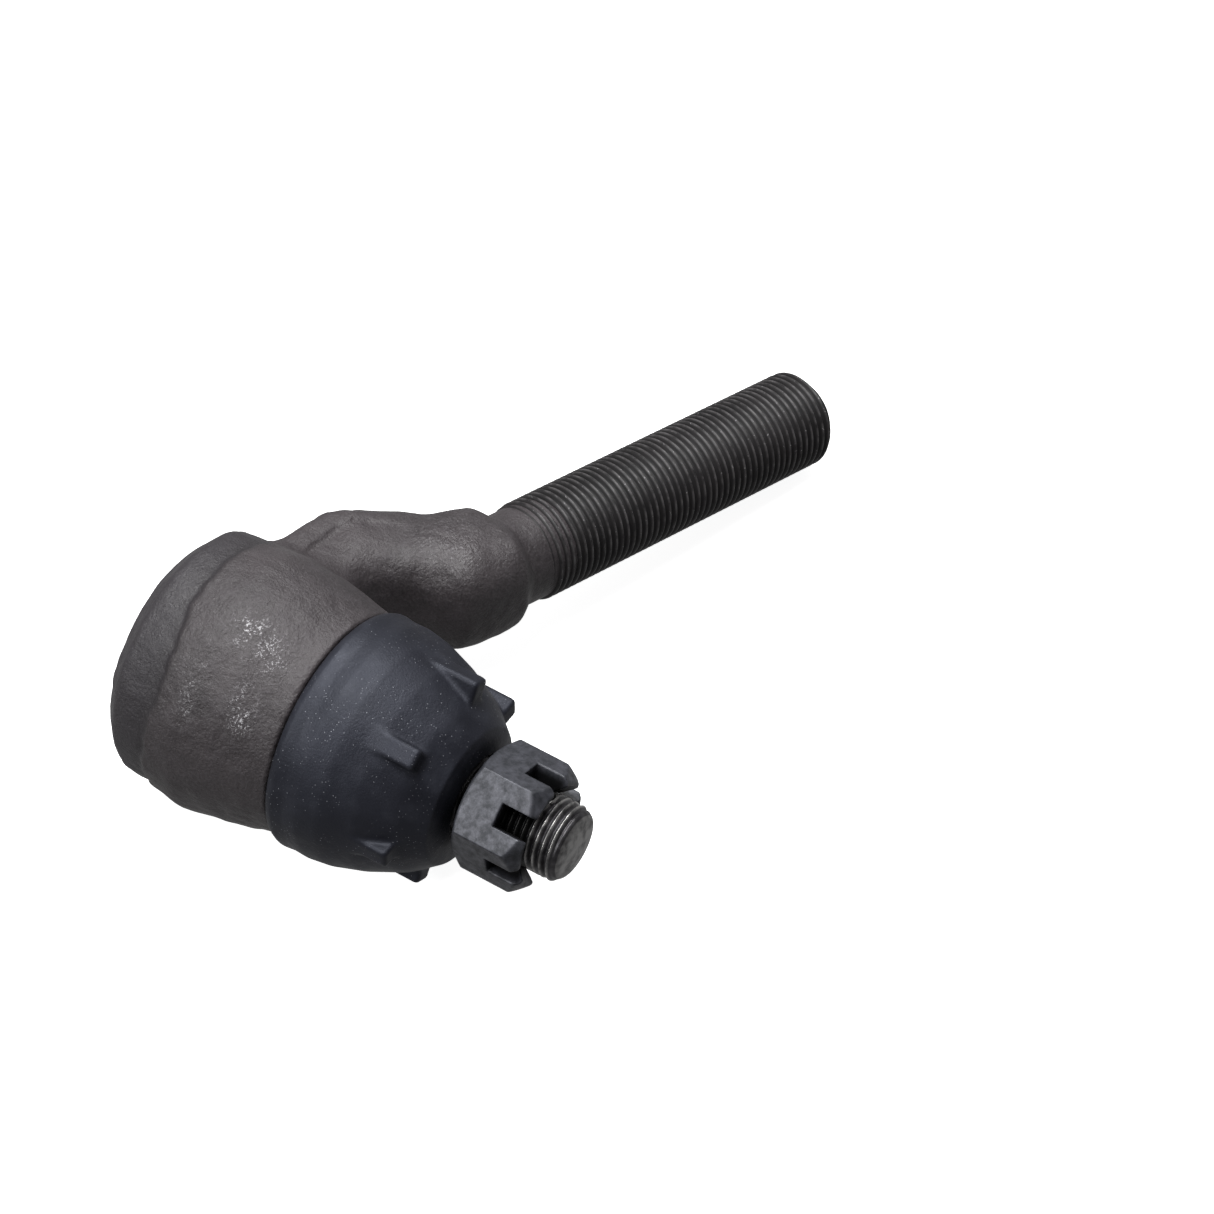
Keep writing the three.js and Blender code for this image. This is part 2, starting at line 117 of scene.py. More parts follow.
def field_piece(name, field, low, high, step, material, relief=None):
    """The surface where field(x, y, z), a distance in millimetres, is zero.
    relief(points, normals) gives how far each point then stands proud."""
    spans = [np.arange(a, b + step, step) for a, b in zip(low, high)]
    x, y, z = np.meshgrid(*spans, indexing="ij", sparse=True)
    values = np.broadcast_to(field(x, y, z), [len(span) for span in spans])
    grid = openvdb.FloatGrid(3.0)
    grid.copyFromArray(np.ascontiguousarray(np.clip(values / step, -3, 3), dtype=np.float32))
    points, quads = grid.convertToQuads(isovalue=0.0)
    points = points.astype(float) * step + np.array(low, float)
    for _ in range(2):
        slope = gradient(field, points)
        steepness = np.maximum((slope ** 2).sum(1), 0.25)
        move = field(*points.T) / steepness
        points -= slope * np.clip(move, -step, step)[:, None]
    if relief is not None:
        slope = gradient(field, points)
        normals = slope / np.maximum(np.linalg.norm(slope, axis=1), 1e-6)[:, None]
        points += normals * relief(points, normals)[:, None]
    return mesh_piece(name, points, quads[:, ::-1], material)


def corner_arc(before, corner, after, radius, steps=6):
    """Points that round the corner off between its two neighbours."""
    corner = np.array(corner)
    to_before = np.array(before) - corner
    to_after = np.array(after) - corner
    lengths = np.linalg.norm(to_before), np.linalg.norm(to_after)
    to_before, to_after = to_before / lengths[0], to_after / lengths[1]
    half = math.acos(np.clip(to_before @ to_after, -1, 1)) / 2
    setback = min(radius / max(math.tan(half), 1e-3), 0.49 * min(lengths))
    start, end = corner + to_before * setback, corner + to_after * setback
    t = np.linspace(0, 1, steps)[:, None]
    return (1 - t) ** 2 * start + 2 * t * (1 - t) * corner + t ** 2 * end


def rounded(outline):
    """A closed outline of (across, along, corner radius) points, with its corners rounded."""
    points = []
    for i, (across, along, radius) in enumerate(outline):
        before = outline[i - 1][:2]
        after = outline[(i + 1) % len(outline)][:2]
        if radius > 0:
            points.extend(corner_arc(before, (across, along), after, radius))
        else:
            points.append(np.array([across, along]))
    return np.array(points)


def outline_distance(outline, u, v):
    """Signed distance from points (u, v) to a closed outline, negative inside."""
    best = np.full(u.shape, 1e9)
    inside = np.zeros(u.shape, bool)
    for a, b in zip(outline, np.roll(outline, -1, axis=0)):
        edge = b - a
        length = edge @ edge
        if length < 1e-12:
            continue
        t = np.clip(((u - a[0]) * edge[0] + (v - a[1]) * edge[1]) / length, 0, 1)
        best = np.minimum(best, (u - a[0] - t * edge[0]) ** 2 + (v - a[1] - t * edge[1]) ** 2)
        crosses = (a[1] > v) != (b[1] > v)
        if edge[1] != 0:
            inside ^= crosses & (u < a[0] + (v - a[1]) * edge[0] / edge[1])
    return np.where(inside, -1, 1) * np.sqrt(best)


TABLE_STEP = 0.1


def turned(outline):
    """The distance field of an outline of (radius, y, corner radius) turned about the stud."""
    shape = rounded(outline)
    low = shape.min(0) - 8
    high = shape.max(0) + 8
    u = np.arange(low[0], high[0], TABLE_STEP)
    v = np.arange(low[1], high[1], TABLE_STEP)
    grid_u, grid_v = np.meshgrid(u, v, indexing="ij")
    table = outline_distance(shape, grid_u, grid_v).astype(np.float32)

    def field(x, y, z):
        radius, height = np.broadcast_arrays(np.sqrt(x * x + z * z), y)
        a = np.clip((radius - low[0]) / TABLE_STEP, 0, len(u) - 1.001)
        b = np.clip((height - low[1]) / TABLE_STEP, 0, len(v) - 1.001)
        i, j = a.astype(int), b.astype(int)
        s, t = a - i, b - j
        near = table[i, j] * (1 - s) + table[i + 1, j] * s
        far = table[i, j + 1] * (1 - s) + table[i + 1, j + 1] * s
        return near * (1 - t) + far * t

    return field


def join(a, b, blend):
    """Union of two distance fields, with a fillet about as wide as blend."""
    h = np.clip(0.5 + 0.5 * (b - a) / blend, 0, 1)
    return b + (a - b) * h - blend * h * (1 - h)


def common(a, b, blend):
    return -join(-a, -b, blend)


def soft_step(value, start, end):
    t = np.clip((value - start) / (end - start), 0, 1)
    return t * t * (3 - 2 * t)


def ripple(points, wavelength, seed, waves=18):
    """Smooth noise, about -1 to 1, as a sum of plane waves in seeded directions."""
    dice = np.random.default_rng(seed)
    total = np.zeros(len(points))
    for _ in range(waves):
        direction = dice.normal(size=3)
        direction /= np.linalg.norm(direction)
        length = wavelength * dice.uniform(0.7, 1.6)
        total += np.sin(points @ direction * 2 * math.pi / length + dice.uniform(0, 2 * math.pi))
    return total / math.sqrt(waves)


# ---- Materials ----------------------------------------------------------------------------

class Paint:
    """A procedural material on one Principled shader. Textures use object coordinates."""

    def __init__(self, name, roughness, metallic=0.0, specular=0.5):
        self.material = bpy.data.materials.new(name)
        self.material.use_nodes = True
        self.tree = self.material.node_tree
        self.tree.nodes.clear()
        output = self.tree.nodes.new("ShaderNodeOutputMaterial")
        self.shader = self.tree.nodes.new("ShaderNodeBsdfPrincipled")
        self.tree.links.new(self.shader.outputs["BSDF"], output.inputs["Surface"])
        self.shader.inputs["Roughness"].default_value = roughness
        self.shader.inputs["Metallic"].default_value = metallic
        self.shader.inputs["Specular IOR Level"].default_value = specular
        coordinates = self.tree.nodes.new("ShaderNodeTexCoord")
        self.where = coordinates.outputs["Object"]

    def feed(self, socket, value):
        if isinstance(value, bpy.types.NodeSocket):
            self.tree.links.new(value, socket)
        elif isinstance(value, tuple) and len(value) == 3 and socket.type == "RGBA":
            socket.default_value = (*value, 1.0)
        else:
            socket.default_value = value

    def noise(self, size, detail=3.0, roughness=0.55, distortion=0.0, stretch=None):
        """Noise with features about size millimetres across."""
        node = self.tree.nodes.new("ShaderNodeTexNoise")
        where = self.where
        if stretch is not None:
            mapping = self.tree.nodes.new("ShaderNodeMapping")
            mapping.inputs["Scale"].default_value = stretch
            self.tree.links.new(where, mapping.inputs["Vector"])
            where = mapping.outputs["Vector"]
        self.tree.links.new(where, node.inputs["Vector"])
        node.inputs["Scale"].default_value = 1 / (size * MM)
        node.inputs["Detail"].default_value = detail
        node.inputs["Roughness"].default_value = roughness
        node.inputs["Distortion"].default_value = distortion
        return node.outputs["Fac"]

    def specks(self, size):
        """Distance to the nearest of scattered points, one per cell of that size."""
        node = self.tree.nodes.new("ShaderNodeTexVoronoi")
        self.tree.links.new(self.where, node.inputs["Vector"])
        node.inputs["Scale"].default_value = 1 / (size * MM)
        return node.outputs["Distance"]

    def attribute(self, name):
        node = self.tree.nodes.new("ShaderNodeAttribute")
        node.attribute_name = name
        return node.outputs["Fac"]

    def span(self, value, low, high, to_low=0.0, to_high=1.0):
        node = self.tree.nodes.new("ShaderNodeMapRange")
        self.feed(node.inputs["Value"], value)
        node.inputs["From Min"].default_value = low
        node.inputs["From Max"].default_value = high
        node.inputs["To Min"].default_value = to_low
        node.inputs["To Max"].default_value = to_high
        return node.outputs["Result"]

    def math(self, operation, a, b=0.0):
        node = self.tree.nodes.new("ShaderNodeMath")
        node.operation = operation
        self.feed(node.inputs[0], a)
        self.feed(node.inputs[1], b)
        return node.outputs[0]

    def mix(self, amount, a, b):
        node = self.tree.nodes.new("ShaderNodeMix")
        node.data_type = "RGBA"
        self.feed(node.inputs["Factor"], amount)
        colours = [socket for socket in node.inputs if socket.type == "RGBA"]
        self.feed(colours[0], a)
        self.feed(colours[1], b)
        return [socket for socket in node.outputs if socket.type == "RGBA"][0]

    def bump(self, height, depth, normal=None):
        """Raises the surface by up to depth millimetres."""
        node = self.tree.nodes.new("ShaderNodeBump")
        node.inputs["Strength"].default_value = 1.0
        node.inputs["Distance"].default_value = depth * MM
        self.tree.links.new(height, node.inputs["Height"])
        if normal is not None:
            self.tree.links.new(normal, node.inputs["Normal"])
        return node.outputs["Normal"]

    def finish(self, colour, roughness=None, metallic=None, normal=None):
        self.feed(self.shader.inputs["Base Color"], colour)
        if roughness is not None:
            self.feed(self.shader.inputs["Roughness"], roughness)
        if metallic is not None:
            self.feed(self.shader.inputs["Metallic"], metallic)
        if normal is not None:
            self.feed(self.shader.inputs["Normal"], normal)
        return self.material


def forging_finish():
    paint = Paint("forging_scale", roughness=0.5, specular=0.5)
    broad = paint.noise(14, detail=3)
    middle = paint.noise(2.2, detail=4, roughness=0.6)
    grain = paint.noise(0.5, detail=3, roughness=0.65)
    tone = paint.mix(paint.span(broad, 0.35, 0.65), (0.032, 0.027, 0.029), (0.052, 0.044, 0.047))
    tone = paint.mix(paint.span(middle, 0.5, 0.75, 0, 0.5), tone, (0.072, 0.063, 0.069))
    tone = paint.mix(paint.span(grain, 0.4, 0.7, 0, 0.5), tone, (0.085, 0.077, 0.082))
    # painted shade: the trimmed band below the parting line is painted darker, standing in for the
    # shade it sits in as it faces away from the light
    band = paint.span(paint.attribute("band"), 0, 1, 0, 0.65)
    tone = paint.mix(band, tone, (0.028, 0.026, 0.031))
    # painted shadow: a dark strip just below the parting line's step, mottled by the middle noise
    step_shadow = paint.math("MULTIPLY", paint.attribute("step_shadow"), paint.span(middle, 0.3, 0.6, 0.2, 0.5))
    tone = paint.mix(step_shadow, tone, (0.016, 0.014, 0.015))
    polish_and_glints = paint.attribute("polish_and_glints")
    worn_area = paint.math("MULTIPLY", paint.attribute("worn"), paint.span(middle, 0.44, 0.56))
    flecks = paint.span(paint.noise(0.45, detail=5, roughness=0.75, distortion=0.6), 0.54, 0.59)
    worn = paint.math("MULTIPLY", worn_area, flecks)
    # painted highlight: light specks painted where the elbow's highlight falls
    painted_glints = paint.math("MULTIPLY", polish_and_glints, paint.span(grain, 0.56, 0.66, 0, 0.3))
    tone = paint.mix(worn, tone, (0.55, 0.54, 0.56))
    tone = paint.mix(painted_glints, tone, (0.34, 0.33, 0.34))
    scale = paint.span(middle, 0.3, 0.7, 0.42, 0.56)
    roughness = paint.math("SUBTRACT", scale, paint.span(polish_and_glints, 0, 1, 0, 0.20))
    pitted = paint.bump(middle, 0.24)
    grained = paint.bump(grain, 0.20, pitted)
    return paint.finish(tone, roughness=roughness, normal=grained)


def shank_finish():
    paint = Paint("shank_phosphate", roughness=0.5, specular=0.4)
    broad = paint.noise(12, detail=3)
    fine = paint.noise(0.25, detail=3)
    tone = paint.mix(paint.span(broad, 0.3, 0.7), (0.010, 0.0095, 0.010), (0.020, 0.018, 0.019))
    crest = paint.span(paint.attribute("crest"), 0.70, 1.0)
    patchy = paint.span(paint.noise(1.8, detail=5), 0.36, 0.62)
    tone = paint.mix(paint.math("MULTIPLY", crest, patchy), tone, (0.085, 0.081, 0.083))
    nicks = paint.span(paint.noise(0.6, detail=4, roughness=0.7), 0.64, 0.68)
    tone = paint.mix(paint.math("MULTIPLY", nicks, crest), tone, (0.40, 0.39, 0.40))
    roughness = paint.span(crest, 0, 1, 0.55, 0.38)
    return paint.finish(tone, roughness=roughness, normal=paint.bump(fine, 0.03))


def rubber_finish():
    paint = Paint("boot_rubber", roughness=0.5, specular=0.40)
    paint.shader.inputs["Specular Tint"].default_value = (0.82, 0.86, 1.0, 1.0)
    broad = paint.noise(14, detail=2)
    cloud = paint.noise(3.5, detail=4)
    skin = paint.noise(0.4, detail=3)
    tone = paint.mix(paint.span(broad, 0.35, 0.65), (0.010, 0.0105, 0.015), (0.017, 0.018, 0.025))
    bloom = paint.span(cloud, 0.5, 0.75, 0, 0.3)
    tone = paint.mix(bloom, tone, (0.036, 0.038, 0.049))
    tiny = paint.span(paint.specks(0.62), 0.0, 0.16, 1, 0)
    dusty = paint.math("MULTIPLY", tiny, paint.span(paint.noise(6, detail=2), 0.44, 0.58))
    tone = paint.mix(dusty, tone, (0.42, 0.43, 0.47))
    roughness = paint.span(cloud, 0.3, 0.7, 0.44, 0.58)
    moulded = paint.bump(cloud, 0.12)
    return paint.finish(tone, roughness=roughness, normal=paint.bump(skin, 0.05, moulded))


def nut_finish():
    paint = Paint("nut_phosphate", roughness=0.4, metallic=0.32, specular=0.5)
    cloud = paint.noise(1.6, detail=6, roughness=0.7)
    fine = paint.noise(0.22, detail=3)
    tone = paint.mix(paint.span(cloud, 0.38, 0.66), (0.027, 0.029, 0.035), (0.084, 0.086, 0.102))
    # painted shade: surfaces sunk below the flats, such as slots, bore and countersink, are painted
    # nearly black, except near the slotted end
    tone = paint.mix(paint.attribute("deep"), tone, (0.004, 0.004, 0.004))
    roughness = paint.span(cloud, 0.35, 0.7, 0.50, 0.36)
    return paint.finish(tone, roughness=roughness, normal=paint.bump(fine, 0.02))


def stud_finish():
    paint = Paint("stud_steel", roughness=0.32, metallic=0.85)
    cloud = paint.noise(1.6, detail=4)
    fine = paint.noise(0.25, detail=4)
    tone = paint.mix(paint.span(cloud, 0.35, 0.65), (0.045, 0.043, 0.046), (0.100, 0.097, 0.103))
    crest = paint.span(paint.attribute("crest"), 0.55, 0.95)
    # partly worn crests and partly painted highlight: the crests and the end face are painted
    # bright where the thread's glints show
    rubbed_and_highlit = paint.math("MULTIPLY", crest, paint.span(cloud, 0.36, 0.60, 0.25, 1.0))
    tone = paint.mix(rubbed_and_highlit, tone, (0.50, 0.49, 0.48))
    # painted shade: the thread inside the nut is painted nearly black
    tone = paint.mix(paint.attribute("deep"), tone, (0.010, 0.010, 0.010))
    roughness = paint.span(rubbed_and_highlit, 0, 1, 0.42, 0.25)
    return paint.finish(tone, roughness=roughness, normal=paint.bump(fine, 0.03))


def ground_finish():
    paint = Paint("ground_steel", roughness=0.3, metallic=0.9)
    lay = paint.noise(0.6, detail=3, stretch=(1, 8, 1))
    tone = paint.mix(paint.span(lay, 0.35, 0.65), (0.26, 0.25, 0.24), (0.36, 0.35, 0.34))
    return paint.finish(tone, roughness=paint.span(lay, 0.3, 0.7, 0.25, 0.4))


def cover_finish():
    paint = Paint("cover_plate", roughness=0.45, metallic=0.55)
    cloud = paint.noise(5, detail=4)
    fine = paint.noise(0.3, detail=3)
    tone = paint.mix(paint.span(cloud, 0.35, 0.65), (0.060, 0.057, 0.057), (0.110, 0.104, 0.102))
    roughness = paint.span(cloud, 0.3, 0.7, 0.38, 0.55)
    return paint.finish(tone, roughness=roughness, normal=paint.bump(fine, 0.02))


def plated_finish():
    paint = Paint("fitting_plating", roughness=0.3, metallic=0.9)
    cloud = paint.noise(2, detail=3)
    tone = paint.mix(paint.span(cloud, 0.35, 0.65), (0.50, 0.41, 0.22), (0.58, 0.52, 0.36))
    return paint.finish(tone, roughness=paint.span(cloud, 0.3, 0.7, 0.24, 0.4))


FORGING = forging_finish()
SHANK_PAINT = shank_finish()
RUBBER = rubber_finish()
NUT_PAINT = nut_finish()
STUD_PAINT = stud_finish()
GROUND = ground_finish()
COVER = cover_finish()
PLATED = plated_finish()


def write_attribute(piece, name, values):
    attribute = piece.data.attributes.new(name, "FLOAT", "POINT")
    attribute.data.foreach_set("value", np.asarray(values, np.float32))


# ---- Forged housing -----------------------------------------------------------------------

BARREL_BACK_Y = -16.2
BARREL_FRONT_Y = 15.0
BARREL_SHIFT = (0.1, 0.7)             # the forged outside is off the bored inside, in x and z
FLAT_TURN = math.radians(133)          # about the stud, from +Z towards +X
FLAT_REACH = 21.4
BOOT_SEAT_RADIUS = 17.4
BOOT_SEAT_Y = 18.6
PARTING_Y = -6.5                      # where the trimmed band round the barrel ends
PARTING_STEP = 0.7
COARSE_ROUGHNESS = (0.10, 9)          # height and spacing of the forging's unevenness
FINE_ROUGHNESS = (0.04, 2.6)
NECK_RADIUS = 8.2
ELBOW_SQUARE = 3.0                    # 2 is a round section
THREAD_START = 56.6                   # along the shank, from the socket's centre
ARM_FILLET = 3.0
ARM_LIFT = 0.45                       # the climbing arm stands a little to one side

barrel_round = turned([
    (0, BARREL_BACK_Y, 0),
    (18.5, BARREL_BACK_Y, 1.2),
    (21.8, -13.2, 2.6),
    (22.4, -6.0, 4.0),
    (22.7, -1.4, 6.0),
    (21.7, 5.0, 6.0),
    (19.8, 12.0, 5.0),
    (19.3, BARREL_FRONT_Y - 0.2, 0.6),
    (BOOT_SEAT_RADIUS, BARREL_FRONT_Y - 0.2, 0.3),
    (BOOT_SEAT_RADIUS, BOOT_SEAT_Y, 0.5),
    (0, BOOT_SEAT_Y, 0),
])

cavity_field = turned([
    (0, BARREL_BACK_Y - 3, 0),
    (16.6, BARREL_BACK_Y - 3, 0),
    (15.6, -15.6, 0.8),
    (15.9, -15.0, 0.2),
    (17.3, -15.0, 0),
    (17.3, -12.4, 0),
    (16.1, -12.4, 0),
    (16.1, 11.9, 0),
    (10.9, 11.9, 0),
    (13.6, BOOT_SEAT_Y, 0.4),
    (13.6, BOOT_SEAT_Y + 3, 0),
    (0, BOOT_SEAT_Y + 3, 0),
])

# The elbow and the neck, about the shank: reach from it, distance along it, corner radius.
elbow_round = turned([
    (0, 32.9, 0),
    (4.6, 33.8, 3.0),
    (8.6, 36.8, 3.0),
    (9.3, 41.4, 4.0),
    (9.5, 45.4, 3.0),
    (9.4, 49.0, 2.2),
    (NECK_RADIUS, 51.6, 1.6),
    (NECK_RADIUS, 62.0, 0.2),
    (0, 62.0, 0),
])


def barrel_field(x, y, z):
    """The turned barrel, a little flatter on the side where the arm leaves it."""
    flat = x * math.sin(FLAT_TURN) + z * math.cos(FLAT_TURN) - FLAT_REACH
    return common(barrel_round(x - BARREL_SHIFT[0], y, z - BARREL_SHIFT[1]), flat, 3.0)


def elbow_field(x, y, z):
    """The elbow, squarish in section, and the round neck that it runs out into."""
    along = x * SHANK[0] + y * SHANK[1]
    beside = np.abs(x * SHANK[1] - y * SHANK[0])
    power = ELBOW_SQUARE - (ELBOW_SQUARE - 2) * soft_step(along, 48.5, 52)
    spread = (beside ** power + np.abs(z) ** power + 1e-6) ** (1 / power)
    return elbow_round(spread, along, 0.0)


def bar_field(x, y, z, start, end, half, back, front, square, cap):
    """A bar with a squared back and a rounded front, from start to end in the middle plane.
    half, back and front are pairs: the sizes at its start and at its end. cap is how far the
    bar's ends bulge past them."""
    start, end = np.array(start), np.array(end)
    length = np.linalg.norm(end - start)
    run = (end - start) / length
    along = (x - start[0]) * run[0] + (y - start[1]) * run[1]
    side = (y - start[1]) * run[0] - (x - start[0]) * run[1]
    share = np.clip(along / length, 0, 1)
    past = np.maximum(np.maximum(-along, along - length), 0)
    half = half[0] + (half[1] - half[0]) * share
    reach = np.where(side < 0, back[0] + (back[1] - back[0]) * share,
                     front[0] + (front[1] - front[0]) * share)
    power = np.where(side < 0, square, FRONT_SQUARE)
    level = (np.abs(z) / half) ** power + (np.abs(side) / reach) ** power
    level = (level + (past / cap) ** power) ** (1 / power)
    return (level - 1) * np.minimum(half, reach)


FRONT_SQUARE = 3.0                    # how square a bar's front corners are: 2 is an ellipse

# The arm's root leaves the barrel square to the stud, and the climb leads up to the elbow.
ROOT_BAR = dict(start=(2.0, -7.0), end=(29.5, -6.2), half=(9.4, 9.1), back=(7.0, 6.1),
                front=(9.2, 8.6), square=5.0, cap=5.0)
CLIMB_BAR = dict(start=(33.0, -3.2), end=(41.6, 9.4), half=(9.2, 9.5), back=(8.2, 8.6),
                 front=(9.0, 8.9), square=3.4, cap=5.5)

# The band that trimming left along the arm's sides: x, its lowest y, its highest y.
TRIM_BAND = np.array([
    (-30, -13.6, -7.8),
    (19, -13.6, -7.8),
    (24, -12.7, -7.7),
    (28, -12.2, -7.5),
    (32.2, -11.2, -6.6),
    (34.6, -9.0, -4.6),
    (38.2, -4.2, 1.6),
    (42, 1.0, 6.0),
])
TRIM_HALF = 9.8
TRIM_NARROWS = 1.3                    # how much nearer the middle its sides come as it climbs
TRIM_END_X = 41.0
TRIM_SLANT_X = (24, 32, 38)           # where the band turns upwards, and what its edges'
TRIM_SLANT = (1.0, 0.7, 0.62)         # heights are then worth square to the band


def trim_band_field(x, y, z):
    """The flat-sided ridge that follows the arm's back."""
    low = np.interp(x, TRIM_BAND[:, 0], TRIM_BAND[:, 1])
    high = np.interp(x, TRIM_BAND[:, 0], TRIM_BAND[:, 2])
    slope = np.interp(x, TRIM_SLANT_X, TRIM_SLANT)
    half = TRIM_HALF - TRIM_NARROWS * soft_step(x, 33, TRIM_END_X)
    sides = np.maximum(np.abs(z) - half, np.maximum(x - TRIM_END_X, -x))
    band = common(sides, (y - high) * slope, 0.9)
    return common(band, (low - y) * slope, 2.4)


def arm_field(x, y, z):
    """The root, the climb and the trimmed band along them."""
    body = join(bar_field(x, y, z, **ROOT_BAR), bar_field(x, y, z, **CLIMB_BAR), 2.5)
    return join(body, trim_band_field(x, y, z), 0.8)


def housing_field(x, y, z):
    """The whole forging up to its neck, with the socket bored out of it."""
    along = x * SHANK[0] + y * SHANK[1]
    lift = ARM_LIFT * soft_step(x, 20, 34) * (1 - soft_step(along, 50, 54))
    body = join(arm_field(x, y, z + lift), elbow_field(x, y, z + lift), 2.5)
    body = join(barrel_field(x, y, z), body, ARM_FILLET)
    return common(body, -cavity_field(x, y, z), 0.3)


def parting_line(angle):
    """The ragged height round the barrel where the trimmed band ends."""
    slow = 1.1 * np.sin(3 * angle + 3.4) + 0.2 * np.sin(7 * angle + 0.4)
    return PARTING_Y + slow + 0.16 * np.sin(13 * angle) + 0.12 * np.sin(29 * angle + 2)


def housing_relief(points, normals):
    """The step at the trimmed band, and the slow unevenness that forging leaves."""
    x, y, z = points.T
    outside = soft_step(np.hypot(x, z), 16.8, 18.2)
    line = parting_line(np.arctan2(z, x))
    below = 1 - soft_step(y, line - 0.9, line + 0.5)
    fade = soft_step(line - y, -1.0, 5.0)
    on_barrel = 1 - soft_step(x, 15.0, 19.0)
    step = -PARTING_STEP * below * (1 - 0.5 * fade) * on_barrel
    coarse = COARSE_ROUGHNESS[0] * ripple(points, COARSE_ROUGHNESS[1], seed=3)
    fine = FINE_ROUGHNESS[0] * ripple(points, FINE_ROUGHNESS[1], seed=4)
    along_shank = points @ SHANK
    forged = outside * (1 - soft_step(along_shank, 49, 53) * soft_step(x, 30, 40))
    return (step + (coarse + fine)) * forged


housing = field_piece(
    "forged_housing_body", housing_field, (-25, -18, -25), (60, 27, 25), 0.4, FORGING,
    relief=housing_relief,
)


def socket_points(piece):
    """A piece's points in the socket's frame, in millimetres."""
    points = np.empty(len(piece.data.vertices) * 3)
    piece.data.vertices.foreach_get("co", points)
    return (points.reshape(-1, 3) - np.array(centre)) @ AXES.T / MM


# Where handling has rubbed the barrel bright: angle about the stud from +Z towards +X in
# degrees, y, half-width round the barrel and along it in millimetres, strength.
WORN_PATCHES = [
    (206, 3.0, 2.6, 2.6, 0.9),
    (210, 6.5, 3.2, 2.8, 1.0),
    (214, 9.5, 2.2, 1.8, 0.6),
    (236, 7.8, 3.8, 1.6, 0.9),
    (244, 8.8, 2.2, 1.6, 0.7),
    (231, -0.9, 3.4, 1.4, 0.8),
    (246, 0.1, 2.8, 1.1, 0.6),
]
# the elbow patch below is smoother, and it also carries painted glints of the elbow's highlight
POLISHED_AT = (38.0, 10.0, -10.2)     # where the elbow is rubbed smooth
POLISHED_REACH = 5.2


def worn_patches(points):
    x, y, z = points.T
    angle = np.degrees(np.arctan2(x, z)) % 360
    total = np.zeros(len(points))
    for middle, height, wide, deep, strength in WORN_PATCHES:
        around = np.radians(angle - middle) * 23
        total += strength * np.exp(-(around / wide) ** 2 - ((y - height) / deep) ** 2)
    return np.clip(total, 0, 1) * (x < 24)


housing_points = socket_points(housing)
write_attribute(housing, "worn", worn_patches(housing_points))
from_polished = np.linalg.norm(housing_points - np.array(POLISHED_AT), axis=1)
band_line = parting_line(np.arctan2(housing_points[:, 2], housing_points[:, 0]))
past_line = band_line - housing_points[:, 1]
on_barrel = 1 - soft_step(housing_points[:, 0], 15.0, 19.0)
# the band mark: painted shade over the barrel below the parting line
write_attribute(housing, "band", soft_step(past_line, -0.6, 0.6) * on_barrel)
# painted shadow along the step, a little below the parting line
write_attribute(housing, "step_shadow", np.exp(-((past_line - 0.6) / 1.5) ** 2) * on_barrel)
# the elbow mark: lower roughness there, plus painted glints of its highlight
write_attribute(housing, "polish_and_glints", np.exp(-(from_polished / POLISHED_REACH) ** 2))
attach(housing, "housing")
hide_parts("forged_housing")


# ---- Threads ------------------------------------------------------------------------------

# One turn of a unified thread: where along the pitch, and how deep of the thread's depth.
THREAD_TURN = [(0.0, 0), (0.0625, 0), (0.125, 0), (0.28, 0.5), (0.4375, 1), (0.5625, 1),
               (0.6875, 1), (0.8438, 0.5)]
THREAD_DEPTH = 0.6134                 # of the pitch


def threaded_rod(name, direction, radius, pitch, start, end, core, chamfer, runout, hand,
                 material, sides=96):
    """A threaded bar about a line through the socket's centre, from start to end along it.
    The thread fades to the core's radius at its start. hand is 1 for right-hand, -1 for left."""
    direction = np.array(direction, float)
    across = np.cross(direction, [0, 0, 1.0])
    across /= np.linalg.norm(across)
    third = np.cross(direction, across)
    depth = THREAD_DEPTH * pitch
    turns = int((end - start) / pitch) + 3
    angles = np.arange(sides) * 2 * math.pi / sides
    rings, crests = [], []
    for turn in range(-1, turns):
        for place_in_turn, sunk in THREAD_TURN:
            along = start + pitch * (turn + place_in_turn + hand * angles / (2 * math.pi))
            thread = radius - depth * sunk
            fade = soft_step(along, start, start + runout * pitch)
            size = (core - 0.25) + (thread - core + 0.25) * fade
            size = np.minimum(size, radius - chamfer + np.maximum(end - along, 0))
            over = np.maximum(along - end, 0) / (1.2 * pitch)
            size = np.where(over > 0, (radius - chamfer) * np.clip(1 - over, 0, 1), size)
            height = np.minimum(along, end)
            rings.append(np.stack([height, size * np.cos(angles), size * np.sin(angles)], axis=1))
            on_thread = (radius - depth - 0.05 < size) & (size < thread + 0.001) & (over == 0)
            crests.append((1 - sunk) * fade * on_thread)
    rings = np.array(rings)
    # The seam: a column's next neighbour round the bar is a whole turn further on or back.
    shift = hand * len(THREAD_TURN)
    rows = len(rings)
    index = np.arange(rows * sides).reshape(rows, sides)
    faces = []
    for j in range(sides):
        k = (j + 1) % sides
        for i in range(rows - 1):
            i_next = i + (shift if k == 0 else 0)
            if 0 <= i_next < rows - 1:
                face = (index[i, j], index[i, k] if k else index[i_next, 0],
                        index[i + 1, k] if k else index[i_next + 1, 0], index[i + 1, j])
                faces.append(face)
    flat = rings.reshape(-1, 3)
    points = (flat[:, 0:1] * direction + flat[:, 1:2] * across + flat[:, 2:3] * third)
    piece = mesh_piece(name, points, faces, material)
    write_attribute(piece, "crest", np.array(crests).ravel())
    return piece


